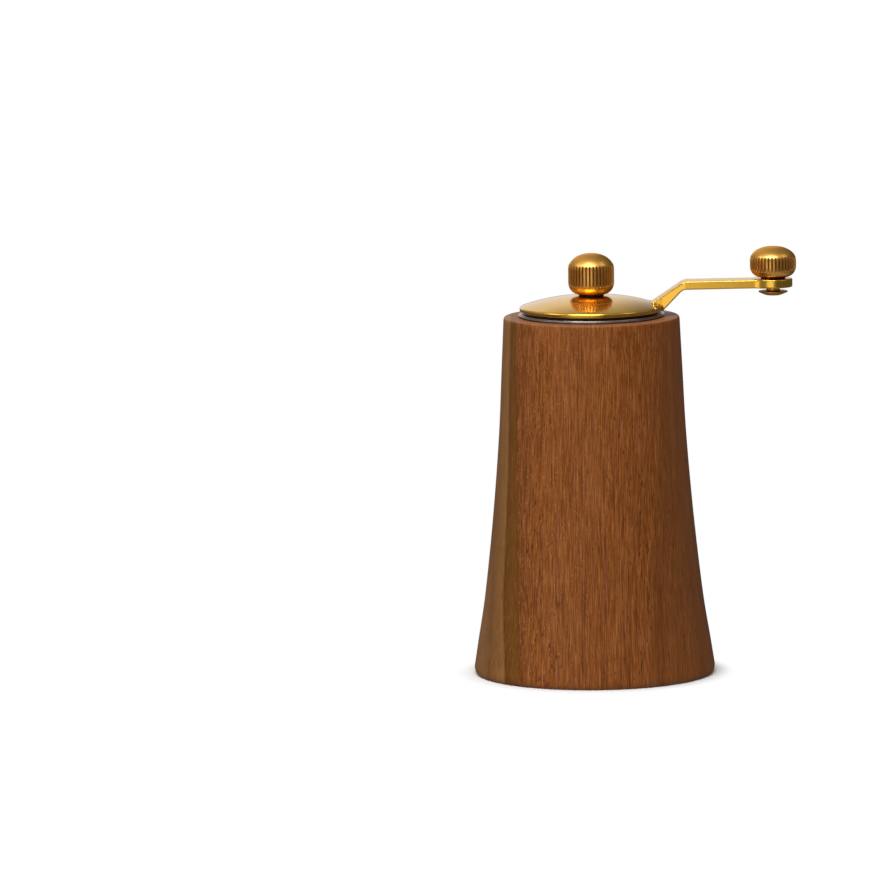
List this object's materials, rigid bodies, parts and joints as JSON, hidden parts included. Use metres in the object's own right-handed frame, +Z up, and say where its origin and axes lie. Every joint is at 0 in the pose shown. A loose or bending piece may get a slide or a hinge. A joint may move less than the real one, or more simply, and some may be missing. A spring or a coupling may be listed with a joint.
{
  "type": "hand-cranked burr coffee grinder",
  "caption": "Hand-cranked burr mill: flared turned wooden body with a brass lid, crank and knurled knobs over a conical burr set in its base.",
  "frame": {"origin": "bottom centre of the whole bounding box, on the surface the mill stands on; the spindle's axis is the vertical line x = -0.013075, y = 0", "axes": "+Z up along the spindle, +X from the spindle towards the crank's grip, +Y to the left of the crank seen from the grip"},
  "size_m": [0.1012, 0.075, 0.1329],
  "materials": {
    "oiled_hardwood": "oiled satin",
    "satin_brass": "satin",
    "brushed_steel": "brushed",
    "hardened_steel": "machined",
    "black_nylon": "matt"
  },
  "bodies": {
    "housing": {"wood_body": "oiled_hardwood", "collar_ring": "brushed_steel", "upper_bridge": "brushed_steel", "upper_bush": "black_nylon", "burr_housing": "black_nylon", "lower_bush": "black_nylon", "outer_burr": "hardened_steel", "burr_retainer": "brushed_steel", "retainer_screw_1": "brushed_steel", "retainer_screw_2": "brushed_steel", "retainer_screw_3": "brushed_steel"},
    "drive_washer": {"thrust_washer": "brushed_steel"},
    "spindle": {"drive_shaft": "brushed_steel", "inner_burr": "hardened_steel", "burr_washer": "brushed_steel", "burr_screw": "brushed_steel", "spring_seat": "brushed_steel", "burr_spring": "brushed_steel"},
    "crank": {"lid_cap": "satin_brass", "lid_insert": "black_nylon", "crank_arm": "satin_brass"},
    "adjuster": {"adjust_knob": "satin_brass", "adjust_washer": "black_nylon"},
    "grip": {"grip_knob": "satin_brass", "grip_screw": "satin_brass", "grip_washer": "black_nylon"}
  },
  "joints": [
    {"name": "crank_spin", "type": "hinge", "parent": "housing", "child": "drive_washer", "pos_m": [-0.01307, 0, 0.1073], "axis": [0, 0, 1], "continuous": true},
    {"name": "burr_gap", "type": "slide", "parent": "drive_washer", "child": "spindle", "axis": [0, 0, 1], "range_m": [-0.00066, 0.00066], "deforming": ["burr_spring"]},
    {"name": "lid_lift", "type": "slide", "parent": "drive_washer", "child": "crank", "axis": [0, 0, 1], "range_m": [0, 0.04]},
    {"name": "grind_adjust", "type": "hinge", "parent": "crank", "child": "adjuster", "pos_m": [-0.01307, 0, 0.1185], "axis": [0, 0, 1], "range_deg": [-340, 340]},
    {"name": "grip_spin", "type": "hinge", "parent": "crank", "child": "grip", "pos_m": [0.04342, 0, 0.1235], "axis": [0, 0, 1], "continuous": true}
  ],
  "couplings": [
    {"joint": "grind_adjust", "follows": "burr_gap", "rad_per_m": -8976}
  ]
}
